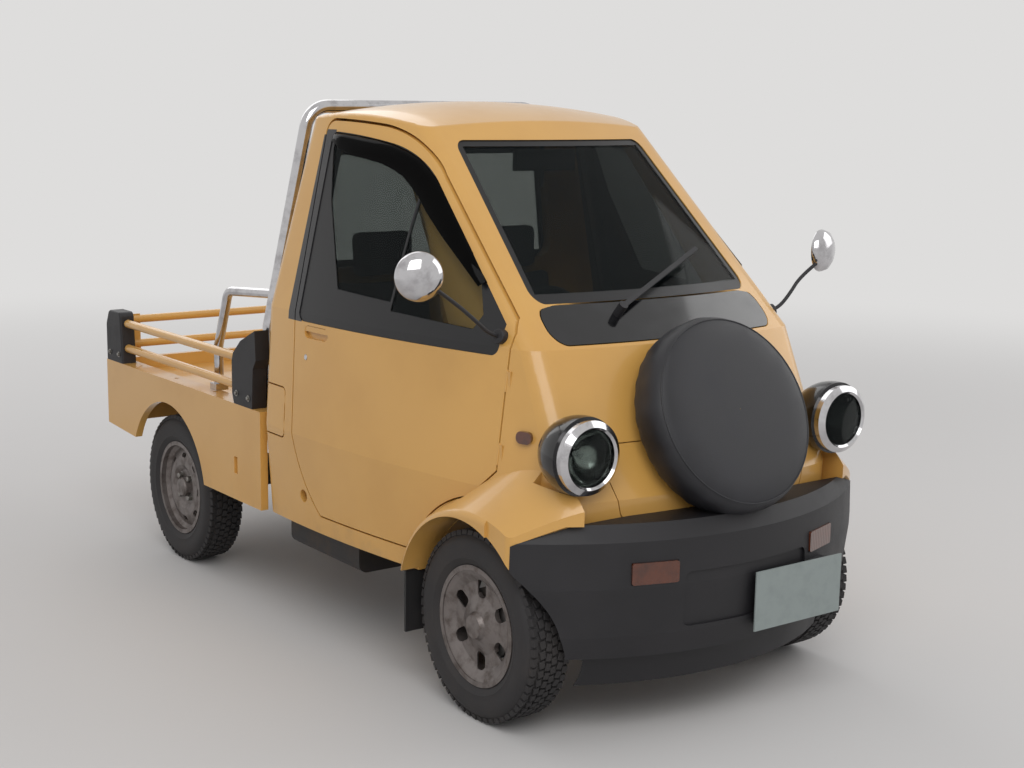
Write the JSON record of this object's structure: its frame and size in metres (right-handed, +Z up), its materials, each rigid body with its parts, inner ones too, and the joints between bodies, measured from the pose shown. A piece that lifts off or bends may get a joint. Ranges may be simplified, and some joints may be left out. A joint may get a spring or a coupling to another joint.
{
  "type": "kei truck",
  "caption": "Small two-seat pickup with a hollow cab, opening doors, steered front wheels, a covered spare on the nose, a railed load bed and a folding rear gate.",
  "frame": {"origin": "on the ground under the middle of the truck", "axes": "+X to the truck's left, +Y to its rear, +Z up"},
  "size_m": [1.6098, 2.8468, 1.65],
  "materials": {
    "body_paint": "gloss paint",
    "black_plastic": "grained",
    "black_gloss": "gloss",
    "bright_chrome": "polished",
    "glass": "clear",
    "amber": "clear amber",
    "red_lens": "clear red",
    "plate": "semi gloss",
    "silver_paint": "silver paint",
    "tyre": "matt",
    "vinyl": "grained vinyl",
    "chassis_black": "satin black",
    "cast": "rough",
    "seat_cloth": "woven",
    "rubber": "matt"
  },
  "bodies": {
    "chassis": {"chassis_frame": "chassis_black", "cab_floor": "body_paint", "cab_front": "body_paint", "cab_rear": "body_paint", "cab_roof": "body_paint", "nose_panel": "body_paint", "front_flares": "body_paint", "bed_tray": "body_paint", "bed_sides": "body_paint", "side_rails": "body_paint", "front_bumper": "black_plastic", "bed_posts": "black_plastic", "dashboard": "black_plastic", "cabin_mirror": "black_plastic", "wiper": "black_plastic", "cowl_panel": "black_gloss", "headlamp_pods": "black_gloss", "headlamp_rims": "bright_chrome", "roll_hoop": "bright_chrome", "fixed_glass": "glass", "amber_lamps": "amber", "tail_lamps": "red_lens", "number_plate": "plate", "spare_cover": "vinyl", "rear_axle": "chassis_black", "front_suspension": "chassis_black", "tank_and_exhaust": "chassis_black", "powertrain": "cast", "seat_cushions": "seat_cloth", "mud_flaps": "rubber"},
    "steering_wheel": {"steering_wheel": "black_plastic"},
    "rear_gate": {"rear_gate": "body_paint"},
    "fuel_lid": {"fuel_lid": "body_paint"},
    "door_right": {"door_right": "body_paint", "door_glass_right": "glass", "door_mirror_right": "bright_chrome"},
    "knuckle_right": {"knuckle_right": "cast"},
    "wheel_front_right": {"rim_front_right": "silver_paint", "tyre_front_right": "tyre"},
    "wheel_rear_right": {"rim_rear_right": "silver_paint", "tyre_rear_right": "tyre"},
    "door_left": {"door_left": "body_paint", "door_glass_left": "glass", "door_mirror_left": "bright_chrome"},
    "knuckle_left": {"knuckle_left": "cast"},
    "wheel_front_left": {"rim_front_left": "silver_paint", "tyre_front_left": "tyre"},
    "wheel_rear_left": {"rim_rear_left": "silver_paint", "tyre_rear_left": "tyre"}
  },
  "joints": [
    {"name": "door_right_hinge", "type": "hinge", "parent": "chassis", "child": "door_right", "pos_m": [-0.51893, -0.9625, 0.84], "axis": [0.121, 0, 0.9927], "range_deg": [0, 65]},
    {"name": "steer_right", "type": "hinge", "parent": "chassis", "child": "knuckle_right", "pos_m": [-0.478, -0.945, 0.264], "axis": [0, 0, 1], "range_deg": [-32, 32]},
    {"name": "wheel_front_right_spin", "type": "hinge", "parent": "knuckle_right", "child": "wheel_front_right", "pos_m": [-0.53, -0.945, 0.264], "axis": [1, 0, 0], "continuous": true},
    {"name": "wheel_rear_right_spin", "type": "hinge", "parent": "chassis", "child": "wheel_rear_right", "pos_m": [-0.53, 0.895, 0.264], "axis": [1, 0, 0], "continuous": true},
    {"name": "door_left_hinge", "type": "hinge", "parent": "chassis", "child": "door_left", "pos_m": [0.51893, -0.9625, 0.84], "axis": [0.121, 0, -0.9927], "range_deg": [0, 65]},
    {"name": "steer_left", "type": "hinge", "parent": "chassis", "child": "knuckle_left", "pos_m": [0.478, -0.945, 0.264], "axis": [0, 0, 1], "range_deg": [-32, 32]},
    {"name": "wheel_front_left_spin", "type": "hinge", "parent": "knuckle_left", "child": "wheel_front_left", "pos_m": [0.53, -0.945, 0.264], "axis": [1, 0, 0], "continuous": true},
    {"name": "wheel_rear_left_spin", "type": "hinge", "parent": "chassis", "child": "wheel_rear_left", "pos_m": [0.53, 0.895, 0.264], "axis": [1, 0, 0], "continuous": true},
    {"name": "steering_wheel_turn", "type": "hinge", "parent": "chassis", "child": "steering_wheel", "pos_m": [-0.25, -0.69, 0.985], "axis": [0, 0.848, 0.5299], "range_deg": [-450, 450]},
    {"name": "rear_gate_hinge", "type": "hinge", "parent": "chassis", "child": "rear_gate", "pos_m": [0, 1.361, 0.724], "axis": [-1, 0, 0], "range_deg": [0, 90]},
    {"name": "fuel_lid_hinge", "type": "hinge", "parent": "chassis", "child": "fuel_lid", "pos_m": [-0.6411, 0.0055, 0.694], "axis": [0.0558, 0, 0.9984], "range_deg": [0, 90]}
  ],
  "couplings": [
    {"joint": "steer_left", "follows": "steer_right", "ratio": 1},
    {"joint": "steering_wheel_turn", "follows": "steer_right", "ratio": 14}
  ]
}
